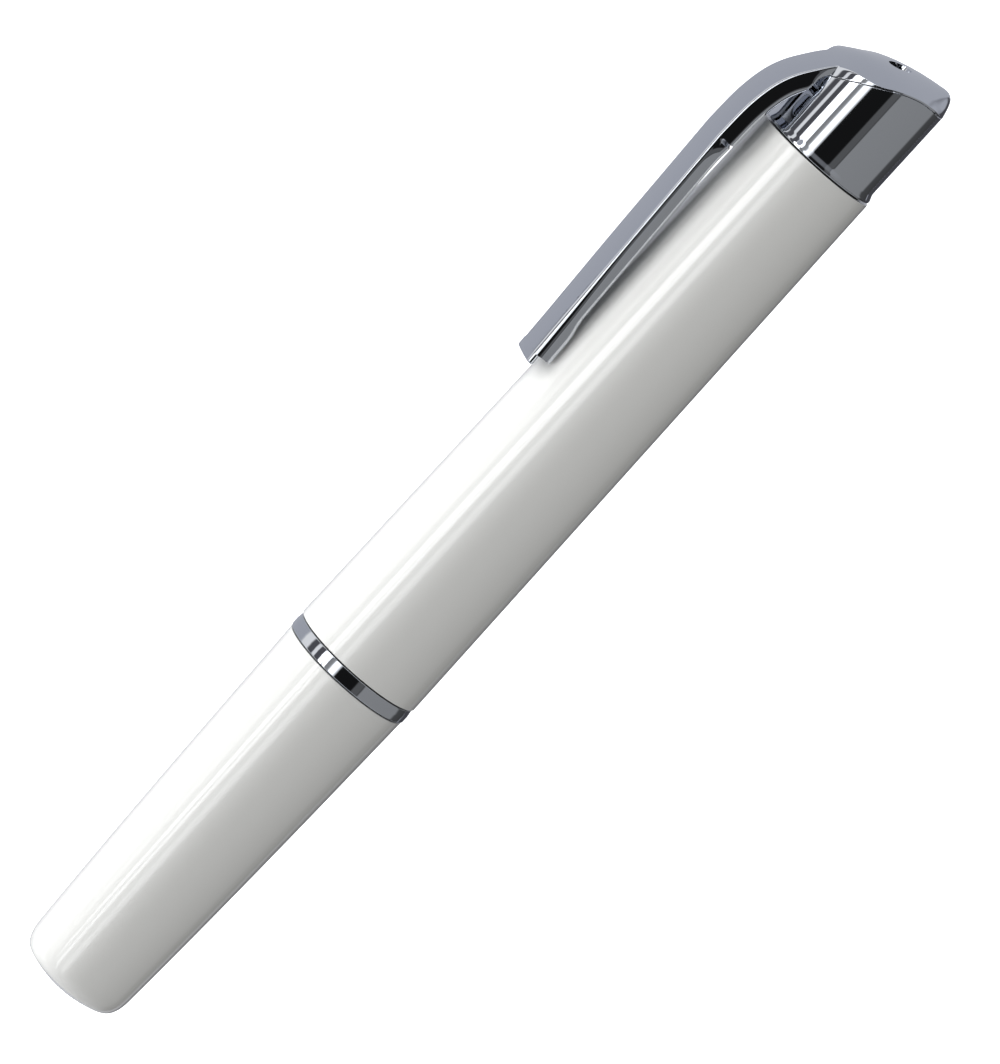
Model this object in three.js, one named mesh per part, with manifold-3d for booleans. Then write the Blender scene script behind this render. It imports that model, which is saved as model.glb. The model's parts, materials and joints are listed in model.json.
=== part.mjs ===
// A pen otoscope: a camera probe under a pull-off cover, a barrel with its cell
// and boards, a turning switch ring, and a pull-off cap with a pocket clip.
// Millimetres, +Z up. The pen lies on its side along X with its tail towards +X,
// resting on the switch ring and on one edge of the clip.

import * as THREE from "three";
import { mergeVertices } from "three/addons/utils/BufferGeometryUtils.js";
import Module from "manifold-3d";

// ---------------------------------------------------------------- dimensions
// A station is a distance along the pen's axis, measured from its tail end.
const LENGTH = 129.4;
const CLIP_BELOW_LEVEL = 29.3;        // degrees the clip points below horizontal
const GAP = 0.3;                      // between pieces that sit in each other
const ROUND = 36;                     // sides of the outer round pieces
const SMALL_ROUND = 20;               // sides of the small inner ones

const COVER = { mouth: 44.2, radius: 7.5, taper: 0.0222, swell: 5.5e-6, wall: 0.8, domeRadius: 12.5 };
const RING = { from: 44.4, to: 45.85, radius: 7.63, bore: 5.9 };
const BARREL = { from: 46.05, to: 115.6, frontRadius: 7.6, rearRadius: 7.0, bore: 6.15, chamfer: 0.2 };
const NOSE = { from: 36.0, shoulder: 46.2, to: 58.0, radius: 5.6, rearRadius: 5.85, bore: 4.6 };
const ORING = { radius: 5.47, thickness: 0.33, groove: 4.95, grooveWidth: 1.2 };
const PROBE = { from: 8.6, to: 44.0, radius: 1.95, bore: 1.65 };
const SPECULUM = { tip: 7.6, skirtFrom: 30.2, skirtTo: 35.7, skirtRadius: 4.95, skirtBore: 4.3 };
const SEAT = { from: 29.5, to: 36.7, radius: 3.4, bore: 2.25, flange: 4.3 };
const CELL = { from: 67.0, to: 111.0, radius: 5.0 };
const HOLDER = { from: 68.0, to: 110.0, bore: 5.3, radius: 5.75, openHalfAngle: 22 };
const BUSH = { from: 113.0, step: 115.5, to: 121.6, rearRadius: 5.85, radius: 5.5 };
const SOCKET = { from: 113.1, to: 121.4, width: 7.4, height: 2.6, wall: 0.3 };
const CAP = { from: 115.9, radius: 6.65, bore: 5.9, insertFrom: 122.2, insertRadius: 5.6 };
// The hood and the clip share one outer curve, from the far edge of the head to
// the straight part of the clip. Its points are [across, station].
const OUTER = [
  [-5.4, 129.4], [-3.0, 129.05], [-0.4, 128.35], [2.0, 127.5], [4.0, 126.5], [6.0, 124.75],
  [7.6, 122.95], [9.05, 120.9], [10.0, 118.6], [10.55, 115.5], [10.7, 111.5],
];
const SPLIT = { at: 0.6, half: 0.0064 };  // where the clip leaves the hood, as a part of that curve
const HOOD = { thickness: 0.9, crown: 30, hole: 1.2 };  // the crown is the radius over the clip's width
const UNDER = [[-6.65, 127.1], [-5.2, 127.5], [-3.5, 127.95], [-1.5, 128.05], [0.7, 127.45], [2.6, 126.35], [4.0, 125.35]];
const FAR_CORNER = [[-6.65, 128.2], [-6.45, 128.85], [-6.0, 129.25]];
const CLIP = { width: 5.5, tip: 81.3, tipAcross: 9.55, thickness: 1.45, footFrom: 87.0, footTo: 82.2, footAcross: 7.6 };

// ---------------------------------------------------------------- materials
const finish = (color, roughness, metalness) => new THREE.MeshStandardMaterial({ color, roughness, metalness });
const chrome = finish(0xc9ccd1, 0.08, 1);
const whiteLacquer = finish(0xeceded, 0.15, 0);
const blackPlastic = finish(0x1c1d1f, 0.4, 0);
const greyPlastic = finish(0x6f7478, 0.5, 0);
const steel = finish(0x9a9da1, 0.3, 1);
const gold = finish(0xc9a24a, 0.3, 1);
const rubber = finish(0x141414, 0.7, 0);
const softFoam = finish(0x4a4d52, 0.9, 0);
const glass = finish(0xcfe3ea, 0.05, 0);
const boardGreen = finish(0x1d5a38, 0.5, 0);
const amberFilm = finish(0xa6661f, 0.4, 0);
const cellWrap = finish(0x2f6ea8, 0.35, 0);

// ---------------------------------------------------------------- helpers
const wasm = await Module();
wasm.setup();

// Shared corners are merged, triangles without area dropped, faces turned out.
function closed(geometry) {
  geometry.deleteAttribute("normal");
  geometry.deleteAttribute("uv");
  const merged = mergeVertices(geometry, 1e-5);
  const place = merged.attributes.position;
  const corner = (i) => new THREE.Vector3().fromBufferAttribute(place, i);
  const triangles = [];
  let volume = 0;
  for (let i = 0; i < merged.index.count; i += 3) {
    const [a, b, c] = [0, 1, 2].map((k) => merged.index.getX(i + k));
    if (a === b || b === c || c === a) continue;
    triangles.push([a, b, c]);
    volume += corner(a).dot(corner(b).cross(corner(c)));
  }
  const order = volume < 0 ? [0, 2, 1] : [0, 1, 2];
  merged.setIndex(triangles.flatMap((triangle) => order.map((k) => triangle[k])));
  return merged;
}

function solid(geometry) {
  const body = closed(geometry);
  const vertProperties = new Float32Array(body.attributes.position.array);
  const triVerts = new Uint32Array(body.index.array);
  return new wasm.Manifold(new wasm.Mesh({ numProp: 3, vertProperties, triVerts }));
}

function geometryOf(manifold) {
  const mesh = manifold.getMesh();
  const geometry = new THREE.BufferGeometry();
  geometry.setAttribute("position", new THREE.BufferAttribute(new Float32Array(mesh.vertProperties), 3));
  geometry.setIndex([...mesh.triVerts]);
  return closed(geometry);
}

// Pen coordinates: x across towards the clip, y across the clip, z the station.
// A profile is a list of [station, radius].
function spun(profile, sides = SMALL_ROUND) {
  const points = profile.map(([station, radius]) => new THREE.Vector2(radius, station));
  return closed(new THREE.LatheGeometry(points, sides).rotateX(Math.PI / 2));
}

function tube(from, to, bore, radius, sides = SMALL_ROUND) {
  return spun([[from, bore], [from, radius], [to, radius], [to, bore], [from, bore]], sides);
}

function disc(from, to, radius, sides = SMALL_ROUND) {
  return spun([[from, 0], [from, radius], [to, radius], [to, 0]], sides);
}

function oRing(station, sides = 28) {
  const turn = 8;
  const profile = [];
  for (let i = 0; i <= turn; i += 1) {
    const angle = (i / turn) * 2 * Math.PI;
    const along = station + ORING.thickness * Math.cos(angle);
    profile.push([along, ORING.radius + ORING.thickness * Math.sin(angle)]);
  }
  profile[turn] = profile[0];
  return spun(profile, sides);
}

function block([x0, x1], [y0, y1], [z0, z1]) {
  const box = new THREE.BoxGeometry(x1 - x0, y1 - y0, z1 - z0);
  return closed(box.translate((x0 + x1) / 2, (y0 + y1) / 2, (z0 + z1) / 2));
}

// A shape drawn as [across, station], given a width centred on the clip's plane.
function slab(points, width) {
  const shape = new THREE.Shape(points.map(([across, station]) => new THREE.Vector2(across, station)));
  const geometry = new THREE.ExtrudeGeometry(shape, { depth: width, bevelEnabled: false });
  return closed(geometry.translate(0, 0, -width / 2).rotateX(Math.PI / 2));
}

// ---------------------------------------------------------------- pen frame
const below = THREE.MathUtils.degToRad(CLIP_BELOW_LEVEL);
const towardsClip = new THREE.Vector3(0, -Math.cos(below), -Math.sin(below));
const towardsHead = new THREE.Vector3(-1, 0, 0);
const acrossClip = new THREE.Vector3().crossVectors(towardsHead, towardsClip);
const pen = new THREE.Group();
pen.quaternion.setFromRotationMatrix(new THREE.Matrix4().makeBasis(towardsClip, acrossClip, towardsHead));

function add(name, geometry, material) {
  const mesh = new THREE.Mesh(geometry, material);
  mesh.name = name;
  pen.add(mesh);
}

// ---------------------------------------------------------------- cover
// A lacquered tube with a domed end. It narrows a little faster near its tail.
function coverRadius(station) {
  const d = COVER.mouth - station;
  return COVER.radius - COVER.taper * d - COVER.swell * d ** 3;
}

function coverShell() {
  const domeEdge = 5.2;
  const cornerEnd = 3.0;
  const innerEnd = 1.3;
  const profile = [];
  for (const radius of [0, 2.6, 4.2, domeEdge]) profile.push([radius ** 2 / (2 * COVER.domeRadius), radius]);
  const corner = new THREE.QuadraticBezierCurve(
    new THREE.Vector2(domeEdge ** 2 / (2 * COVER.domeRadius), domeEdge),
    new THREE.Vector2(1.5, 6.0),
    new THREE.Vector2(cornerEnd, coverRadius(cornerEnd)),
  );
  for (const t of [0.35, 0.7]) profile.push(corner.getPoint(t).toArray());
  const stations = [cornerEnd, 9, 16, 24, 33, COVER.mouth - 0.15];
  for (const station of stations) profile.push([station, coverRadius(station)]);
  profile.push([COVER.mouth, coverRadius(COVER.mouth) - 0.15]);
  for (const station of [COVER.mouth, 30, 16, 4]) profile.push([station, coverRadius(station) - COVER.wall]);
  profile.push([innerEnd + 0.7, 4.9], [innerEnd, 3.6], [innerEnd, 0]);
  return spun(profile, ROUND);
}

function coverLiner() {
  const from = 35.0;
  const to = COVER.mouth - 0.3;
  const outer = (station) => coverRadius(station) - COVER.wall - 0.2;
  return spun([[from, RING.bore], [from, outer(from)], [to, outer(to)], [to, RING.bore], [from, RING.bore]], ROUND);
}

add("cover_shell", coverShell(), whiteLacquer);
add("cover_liner", coverLiner(), blackPlastic);
add("tip_cushion", spun([[1.6, 0], [1.6, 3.2], [2.3, 4.5], [4.6, 4.5], [4.6, 3.0], [3.2, 1.4], [3.2, 0]]), softFoam);

// ---------------------------------------------------------------- speculum
function speculum() {
  const cone = spun([
    [SPECULUM.tip, 2.3], [SPECULUM.tip, 2.5], [8.2, 2.74], [20.0, 3.55], [29.0, 4.6],
    [SPECULUM.skirtFrom, SPECULUM.skirtRadius], [SPECULUM.skirtTo, SPECULUM.skirtRadius],
    [SPECULUM.skirtTo, SPECULUM.skirtBore], [SPECULUM.skirtFrom, SPECULUM.skirtBore], [28.5, 4.0],
    [20.0, 2.95], [SPECULUM.tip, 2.3],
  ], 28);
  const lug = solid(block([3.75, SPECULUM.skirtBore + GAP], [-0.8, 0.8], [32.7, 33.7]));
  return geometryOf(solid(cone).add(lug).add(lug.rotate([0, 0, 180])));
}

function speculumSeat() {
  const boss = spun([
    [SEAT.from, SEAT.bore], [SEAT.from, SEAT.radius], [36.0, SEAT.radius], [36.2, SEAT.flange],
    [SEAT.to, SEAT.flange], [SEAT.to, SEAT.bore], [SEAT.from, SEAT.bore],
  ]);
  const lug = solid(block([-0.8, 0.8], [SEAT.radius - 0.4, 3.95], [31.2, 32.2]));
  return geometryOf(solid(boss).add(lug).add(lug.rotate([0, 0, 180])));
}

add("speculum", speculum(), blackPlastic);
add("speculum_seat", speculumSeat(), steel);

// ---------------------------------------------------------------- probe
add("probe_tube", tube(PROBE.from, PROBE.to, PROBE.bore, PROBE.radius), steel);
add("probe_window", disc(PROBE.from + 0.1, PROBE.from + 0.5, 1.4), glass);
add("light_guide", tube(PROBE.from + 0.8, 16.0, 0.98, 1.4, 16), glass);
add("camera_module", spun([[9.4, 0], [9.4, 0.7], [16.3, 0.7], [16.3, 1.3], [20.0, 1.3], [20.0, 0]], 16), blackPlastic);
add("camera_flex", block([-0.15, 0.15], [-0.9, 0.9], [20.3, 46.6]), amberFilm);
add("probe_seat", tube(37.0, 41.0, PROBE.radius + GAP, NOSE.bore - GAP), steel);

// ---------------------------------------------------------------- nose
function grooved(station) {
  const from = station - ORING.grooveWidth / 2;
  const to = station + ORING.grooveWidth / 2;
  return (radius) => [[from, radius], [from, ORING.groove], [to, ORING.groove], [to, radius]];
}

const COVER_SEAL = 40.0;
add("nose_body", spun([
  [NOSE.from, NOSE.bore], [NOSE.from, NOSE.radius - 0.2], [NOSE.from + 0.2, NOSE.radius],
  ...grooved(COVER_SEAL)(NOSE.radius), [NOSE.shoulder, NOSE.radius], [NOSE.shoulder, NOSE.rearRadius],
  [NOSE.to, NOSE.rearRadius], [NOSE.to, NOSE.bore], [NOSE.from, NOSE.bore],
], ROUND), blackPlastic);
add("cover_oring", oRing(COVER_SEAL), rubber);

// ---------------------------------------------------------------- switch ring
// The ring is crowned, with a keyway in its bore for the magnet that it carries.
function switchRing() {
  const crown = spun([
    [RING.from, RING.bore], [RING.from, RING.radius - 0.3], [RING.from + 0.25, RING.radius - 0.07],
    [(RING.from + RING.to) / 2, RING.radius], [RING.to - 0.25, RING.radius - 0.07],
    [RING.to, RING.radius - 0.3], [RING.to, RING.bore], [RING.from, RING.bore],
  ], ROUND);
  const keyway = block([RING.bore - 0.6, RING.bore + 0.9], [-0.8, 0.8], [RING.from - 1, RING.to + 1]);
  return geometryOf(solid(crown).subtract(solid(keyway)));
}

add("switch_ring", switchRing(), chrome);
add("ring_magnet", block([6.02, 6.5], [-0.5, 0.5], [RING.from + 0.2, RING.to - 0.2]), steel);

// ---------------------------------------------------------------- barrel
const barrelBody = [
  [BARREL.from, BARREL.bore], [BARREL.from, BARREL.frontRadius - BARREL.chamfer],
  [BARREL.from + BARREL.chamfer, BARREL.frontRadius], [BARREL.to - BARREL.chamfer, BARREL.rearRadius],
  [BARREL.to, BARREL.rearRadius - BARREL.chamfer], [BARREL.to, BARREL.bore], [BARREL.from, BARREL.bore],
];
add("barrel_shell", spun(barrelBody, ROUND), whiteLacquer);

// The main board lies in the clip's cross plane and carries four parts.
const BOARD = { half: 0.5, from: 47.0, to: 65.5 };
const above = BOARD.half + GAP;
add("main_board", block([-BOARD.half, BOARD.half], [-4.2, 4.2], [BOARD.from, BOARD.to]), boardGreen);
add("camera_socket", block([above, above + 0.8], [-1.8, 1.8], [50.0, 52.5]), greyPlastic);
add("hall_sensor", block([above, above + 0.5], [2.4, 3.4], [47.3, 48.6]), blackPlastic);
add("image_processor", block([above, above + 0.9], [-2.0, 2.0], [55.0, 59.0]), blackPlastic);
add("wifi_module", block([-above - 1.2, -above], [-3.0, 3.0], [55.0, 64.0]), steel);

// ---------------------------------------------------------------- cell
function cellHolder() {
  const open = THREE.MathUtils.degToRad(HOLDER.openHalfAngle);
  const shape = new THREE.Shape();
  shape.absarc(0, 0, HOLDER.radius, -Math.PI + open, Math.PI - open, false);
  shape.absarc(0, 0, HOLDER.bore, Math.PI - open, -Math.PI + open, true);
  const length = HOLDER.to - HOLDER.from;
  const geometry = new THREE.ExtrudeGeometry(shape, { depth: length, bevelEnabled: false, curveSegments: 12 });
  return closed(geometry.translate(0, 0, HOLDER.from));
}

const buttonFrom = CELL.to - 0.8;
add("front_contact", disc(66.0, 66.5, 3.6), gold);
add("battery_cell", spun([
  [CELL.from, 0], [CELL.from, CELL.radius - 0.3], [CELL.from + 0.3, CELL.radius],
  [buttonFrom - 0.3, CELL.radius], [buttonFrom, CELL.radius - 0.3], [buttonFrom, 2.6], [CELL.to, 2.6], [CELL.to, 0],
], 28), cellWrap);
add("cell_holder", cellHolder(), greyPlastic);
add("flex_strip", block([-5.75, -5.45], [-1.3, 1.3], [66.0, 111.3]), amberFilm);
add("rear_contact", disc(111.25, 111.55, 2.2), gold);

// ---------------------------------------------------------------- charging end
function roundedBar(width, height, radius) {
  const shape = new THREE.Shape();
  const x = height / 2 - radius;
  const y = width / 2 - radius;
  shape.absarc(x, y, radius, 0, Math.PI / 2, false);
  shape.absarc(-x, y, radius, Math.PI / 2, Math.PI, false);
  shape.absarc(-x, -y, radius, Math.PI, 1.5 * Math.PI, false);
  shape.absarc(x, -y, radius, 1.5 * Math.PI, 2 * Math.PI, false);
  return shape;
}

function bar(shape, from, to) {
  const geometry = new THREE.ExtrudeGeometry(shape, { depth: to - from, bevelEnabled: false, curveSegments: 3 });
  return closed(geometry.translate(0, 0, from));
}

function chargeSocket() {
  const shell = solid(bar(roundedBar(SOCKET.width, SOCKET.height, 0.9), SOCKET.from, SOCKET.to));
  const innerWidth = SOCKET.width - 2 * SOCKET.wall;
  const innerHeight = SOCKET.height - 2 * SOCKET.wall;
  const mouth = bar(roundedBar(innerWidth, innerHeight, 0.6), SOCKET.from + SOCKET.wall, SOCKET.to + 1);
  return geometryOf(shell.subtract(solid(mouth)));
}

const CAP_SEAL = 118.6;
function rearBush() {
  const body = spun([
    [BUSH.from, 0], [BUSH.from, BUSH.rearRadius], [BUSH.step, BUSH.rearRadius], [BUSH.step, BUSH.radius],
    ...grooved(CAP_SEAL)(BUSH.radius), [BUSH.to - 0.2, BUSH.radius], [BUSH.to, BUSH.radius - 0.2], [BUSH.to, 0],
  ], ROUND);
  const slot = roundedBar(SOCKET.width + 2 * GAP, SOCKET.height + 2 * GAP, 1.1);
  return geometryOf(solid(body).subtract(solid(bar(slot, BUSH.from - 1, BUSH.to + 1))));
}

add("socket_board", disc(111.9, 112.7, 5.3), boardGreen);
add("charge_socket", chargeSocket(), steel);
add("socket_tongue", block([-0.25, 0.25], [-2.4, 2.4], [114.0, 119.8]), blackPlastic);
add("rear_bush", rearBush(), blackPlastic);
add("cap_oring", oRing(CAP_SEAL), rubber);

// ---------------------------------------------------------------- cap and clip
const outerCurve = new THREE.SplineCurve(OUTER.map(([across, station]) => new THREE.Vector2(across, station)));

// A point on the outer curve, moved inward, square to it.
function onCurve(part, inward) {
  const place = outerCurve.getPoint(part);
  const run = outerCurve.getTangent(part);
  return [place.x + inward * run.y, place.y - inward * run.x];
}

function curveRun(from, to, steps) {
  const run = [];
  for (let i = 0; i <= steps; i += 1) run.push(onCurve(from + ((to - from) * i) / steps, 0));
  return run;
}

// The hood is crowned over its width, so its middle stands higher than its sides.
function crowned(body) {
  return body.refineToLength(2.5).warp((corner) => {
    corner[2] -= corner[1] ** 2 / (2 * HOOD.crown);
  });
}

const hoodEnd = SPLIT.at - SPLIT.half;
const underside = [...UNDER, onCurve(0.5, HOOD.thickness), onCurve(hoodEnd, HOOD.thickness)];

// Everything inside the cap stops below the hood.
function underHood() {
  const base = CAP.from - 5;
  const top = underside.map(([across, station]) => [across, station - GAP]);
  return crowned(solid(slab([[-9, base], [-9, UNDER[0][1] - GAP], ...top, [underside.at(-1)[0], base]], 14)));
}

function headSleeve() {
  const shell = spun([
    [CAP.from, CAP.bore], [CAP.from, CAP.radius - 0.15], [CAP.from + 0.15, CAP.radius],
    [LENGTH + 1, CAP.radius], [LENGTH + 1, CAP.bore], [CAP.from, CAP.bore],
  ], ROUND);
  return geometryOf(solid(shell).intersect(underHood()));
}

function capInsert() {
  const plug = solid(disc(CAP.insertFrom, LENGTH + 1, CAP.insertRadius, 28));
  const screwHole = solid(disc(CAP.insertFrom - 1, LENGTH + 2, 1.05, 12));
  return geometryOf(plug.intersect(underHood()).subtract(screwHole));
}

function hood() {
  const band = crowned(solid(slab([...FAR_CORNER, ...curveRun(0, hoodEnd, 14), ...[...underside].reverse()], 14)));
  const round = solid(disc(CAP.from, LENGTH + 1, CAP.radius, ROUND));
  const half = CLIP.width / 2;
  const strip = solid(block([0, 12], [-half, half], [CAP.from, LENGTH + 1]));
  const hole = solid(disc(CAP.from, LENGTH + 1, HOOD.hole, 16));
  return geometryOf(band.intersect(round.add(strip)).subtract(hole));
}

function clipArm() {
  const start = SPLIT.at + SPLIT.half;
  const outer = [...curveRun(start, 1, 10), [CLIP.tipAcross + 0.02, CLIP.tip + 0.4], [CLIP.tipAcross - 0.3, CLIP.tip]];
  const foot = [
    [CLIP.tipAcross - 1.1, CLIP.tip], [CLIP.footAcross + 0.15, CLIP.footTo],
    [CLIP.footAcross, (CLIP.footFrom + CLIP.footTo) / 2], [CLIP.footAcross + 0.15, CLIP.footFrom - 0.8],
    [CLIP.tipAcross - CLIP.thickness + 0.15, CLIP.footFrom + 1],
  ];
  const full = CLIP.thickness;
  const thickening = [[1, full], [0.93, full], [0.86, full], [0.79, full], [0.72, 1.3], [0.66, 1.1], [start, HOOD.thickness]];
  const inner = thickening.map(([part, inward]) => onCurve(part, inward));
  return slab([...outer, ...foot, ...inner], CLIP.width);
}

add("head_sleeve", headSleeve(), chrome);
add("cap_insert", capInsert(), blackPlastic);
add("hood_screw", spun([[123.0, 0], [123.0, 0.6], [126.2, 0.6], [126.2, 0.75], [127.1, 0.75], [127.1, 0]], 12), steel);
add("hood", hood(), chrome);
add("clip_arm", clipArm(), chrome);

// ---------------------------------------------------------------- assembly
// The origin is under the middle of the pen, on the surface that it lies on.
const group = new THREE.Group();
group.add(pen);
group.updateMatrixWorld(true);
const box = new THREE.Box3().setFromObject(group, true);
const middle = box.getCenter(new THREE.Vector3());
group.position.set(-middle.x, -middle.y, -box.min.z);

export default group;
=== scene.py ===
# %% [markdown]
# # A pen otoscope
# The pen is a few turned tubes in a row, with a bent chrome clip at one end.
# The CAD parts come first and fix every place. Each later cell makes one piece
# or one finish around them.

# %% Load the frame
import json
import math

import bmesh
import bpy
from mathutils import Matrix, Vector


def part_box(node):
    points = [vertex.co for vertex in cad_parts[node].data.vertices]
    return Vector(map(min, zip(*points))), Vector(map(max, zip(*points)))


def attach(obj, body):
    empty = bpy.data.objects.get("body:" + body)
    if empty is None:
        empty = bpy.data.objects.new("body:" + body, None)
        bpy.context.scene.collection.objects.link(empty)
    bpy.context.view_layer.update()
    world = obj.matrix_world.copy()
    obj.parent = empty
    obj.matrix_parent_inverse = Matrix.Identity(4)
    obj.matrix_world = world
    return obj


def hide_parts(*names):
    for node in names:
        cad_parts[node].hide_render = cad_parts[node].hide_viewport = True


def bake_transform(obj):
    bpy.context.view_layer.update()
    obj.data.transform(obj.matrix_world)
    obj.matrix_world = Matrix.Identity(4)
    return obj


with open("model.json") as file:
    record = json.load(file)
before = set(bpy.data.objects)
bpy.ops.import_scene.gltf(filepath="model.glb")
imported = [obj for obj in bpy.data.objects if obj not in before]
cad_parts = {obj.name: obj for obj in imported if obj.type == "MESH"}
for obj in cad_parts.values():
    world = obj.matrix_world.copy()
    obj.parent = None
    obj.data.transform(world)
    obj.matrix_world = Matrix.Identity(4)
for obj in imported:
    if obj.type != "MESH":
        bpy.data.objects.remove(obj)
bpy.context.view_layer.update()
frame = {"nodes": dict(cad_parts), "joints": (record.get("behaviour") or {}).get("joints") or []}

# %% [markdown]
# ## Pen coordinates
# A maker measures a pen along its axis and out from it. So every shape below is
# drawn in millimetres as across (towards the clip), sideways, and a station, the
# distance from the tail. One matrix then puts it in the frame. The clip's hinge
# gives the clip's direction, and the ring gives the axis.

# %% Pen coordinates
MM = 0.001
clip_hinge = next(j for j in frame["joints"] if j["name"] == "clip_flex")
sideways = -Vector(clip_hinge["axis"]).normalized()
towards_head = Vector((-1, 0, 0))
towards_clip = sideways.cross(towards_head)
ring_low, ring_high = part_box("switch_ring")
ring_middle = (ring_low + ring_high) / 2
tail = Vector((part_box("cover_shell")[1].x, ring_middle.y, ring_middle.z))
PEN = Matrix.Identity(4)
for column, direction in enumerate((towards_clip, sideways, towards_head)):
    for row in range(3):
        PEN[row][column] = direction[row] * MM
PEN.translation = tail


def station_of(x):
    return (tail.x - x) / MM


def span(node):
    low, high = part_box(node)
    return station_of(high.x), station_of(low.x)


def pen_point(across, side, station):
    return PEN @ Vector((across, side, station))


print("the ring lies at stations", [round(s, 2) for s in span("switch_ring")])

# %% [markdown]
# ## The camera
# The pen is seen from a little towards its head, at arm's length through a long
# lens, so that its sides stay nearly parallel. The camera is rolled so that the
# head points to the upper right. Its place comes from the pen's own directions:
# how far the clip is turned towards the eye, how far the eye leans to the head.

# %% Camera
CLIP_TOWARDS_EYE = math.radians(22)
LEAN_TO_HEAD = math.radians(9)
HEAD_FROM_UPRIGHT = math.radians(42.4)
EYE_DISTANCE = 0.905
LENS = 301
LOOK_STATION = 65.69
LOOK_ASIDE = 1.83

eye_side = towards_clip * math.sin(CLIP_TOWARDS_EYE) + sideways * math.cos(CLIP_TOWARDS_EYE)
image_left = towards_clip * math.cos(CLIP_TOWARDS_EYE) - sideways * math.sin(CLIP_TOWARDS_EYE)
to_eye = eye_side * math.cos(LEAN_TO_HEAD) + towards_head * math.sin(LEAN_TO_HEAD)
along_image = towards_head * math.cos(LEAN_TO_HEAD) - eye_side * math.sin(LEAN_TO_HEAD)
right = along_image * math.sin(HEAD_FROM_UPRIGHT) - image_left * math.cos(HEAD_FROM_UPRIGHT)
up = along_image * math.cos(HEAD_FROM_UPRIGHT) + image_left * math.sin(HEAD_FROM_UPRIGHT)
target = pen_point(0, 0, LOOK_STATION) - image_left * LOOK_ASIDE * MM

camera = bpy.data.objects.new("camera", bpy.data.cameras.new("camera"))
bpy.context.scene.collection.objects.link(camera)
camera.data.lens = LENS
camera.data.clip_start = 0.01
camera.matrix_world = Matrix((
    (right.x, up.x, to_eye.x, 0),
    (right.y, up.y, to_eye.y, 0),
    (right.z, up.z, to_eye.z, 0),
    (0, 0, 0, 1),
))
camera.location = target + to_eye * EYE_DISTANCE
bpy.context.scene.camera = camera
print("camera at", [round(v, 3) for v in camera.location])

# %% [markdown]
# ## Shader helpers
# A material is a small graph of nodes. These helpers add a node, set its sockets
# and link what feeds it, so that each finish below reads as a few lines.


# %% Shader helpers
def add_node(tree, kind, inputs=None, **settings):
    node = tree.nodes.new(kind)
    for key, value in settings.items():
        setattr(node, key, value)
    for key, value in (inputs or {}).items():
        if isinstance(value, bpy.types.NodeSocket):
            tree.links.new(value, node.inputs[key])
        else:
            node.inputs[key].default_value = value
    return node


def new_material(name, color, roughness, metallic=0.0, **principled):
    material = bpy.data.materials.new(name)
    material.use_nodes = True
    shader = material.node_tree.nodes["Principled BSDF"]
    shader.inputs["Base Color"].default_value = (*color, 1)
    shader.inputs["Roughness"].default_value = roughness
    shader.inputs["Metallic"].default_value = metallic
    for key, value in principled.items():
        shader.inputs[key.replace("_", " ")].default_value = value
    material.diffuse_color = (*color, 1)
    return material


def new_group(name, inputs, outputs):
    group = bpy.data.node_groups.new(name, "ShaderNodeTree")
    for label, default in inputs.items():
        kind = "NodeSocketVector" if default is None else "NodeSocketFloat"
        socket = group.interface.new_socket(label, in_out="INPUT", socket_type=kind)
        if default is not None:
            socket.default_value = default
    for label in outputs:
        group.interface.new_socket(label, in_out="OUTPUT", socket_type="NodeSocketFloat")
    return group, group.nodes.new("NodeGroupInput").outputs, group.nodes.new("NodeGroupOutput").inputs


# %% [markdown]
# ## Three effects that many finishes share
# Handled gloss surfaces have faint smears, where the roughness changes, and fine
# waves in the skin. Moulded plastic has an even grain. Turned metal has rings
# round the axis. Each effect is a node group with named inputs, used in several
# materials with different values.


# %% Handling marks
def make_handling():
    group, given, out = new_group(
        "handling", {"Vector": None, "Scale": 60.0, "Roughness": 0.1, "Spread": 0.05, "Wave": 0.1},
        ["Roughness", "Height"])
    stretch = add_node(group, "ShaderNodeMapping", {"Vector": given["Vector"], "Scale": (0.35, 1, 1)})
    smear = add_node(group, "ShaderNodeTexNoise",
                     {"Vector": stretch.outputs[0], "Scale": given["Scale"], "Detail": 4.0})
    centred = add_node(group, "ShaderNodeMath", {0: smear.outputs[0], 1: 0.5}, operation="SUBTRACT")
    spread = add_node(group, "ShaderNodeMath",
                      {0: centred.outputs[0], 1: given["Spread"], 2: given["Roughness"]},
                      operation="MULTIPLY_ADD")
    skin = add_node(group, "ShaderNodeTexNoise", {"Vector": given["Vector"], "Scale": 420.0, "Detail": 1.0})
    wave = add_node(group, "ShaderNodeMath", {0: skin.outputs[0], 1: given["Wave"]}, operation="MULTIPLY")
    group.links.new(spread.outputs[0], out["Roughness"])
    group.links.new(wave.outputs[0], out["Height"])
    return group


HANDLING = make_handling()


# %% Mould grain and turned rings
def make_grain():
    group, given, out = new_group(
        "mould_grain", {"Vector": None, "Scale": 3000.0, "Roughness": 0.4, "Spread": 0.2},
        ["Roughness", "Height"])
    cells = add_node(group, "ShaderNodeTexVoronoi", {"Vector": given["Vector"], "Scale": given["Scale"]})
    height = add_node(group, "ShaderNodeMath", {0: cells.outputs["Distance"], 1: 0.5}, operation="POWER")
    change = add_node(group, "ShaderNodeMath",
                      {0: cells.outputs["Distance"], 1: given["Spread"], 2: given["Roughness"]},
                      operation="MULTIPLY_ADD")
    group.links.new(change.outputs[0], out["Roughness"])
    group.links.new(height.outputs[0], out["Height"])
    return group


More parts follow.
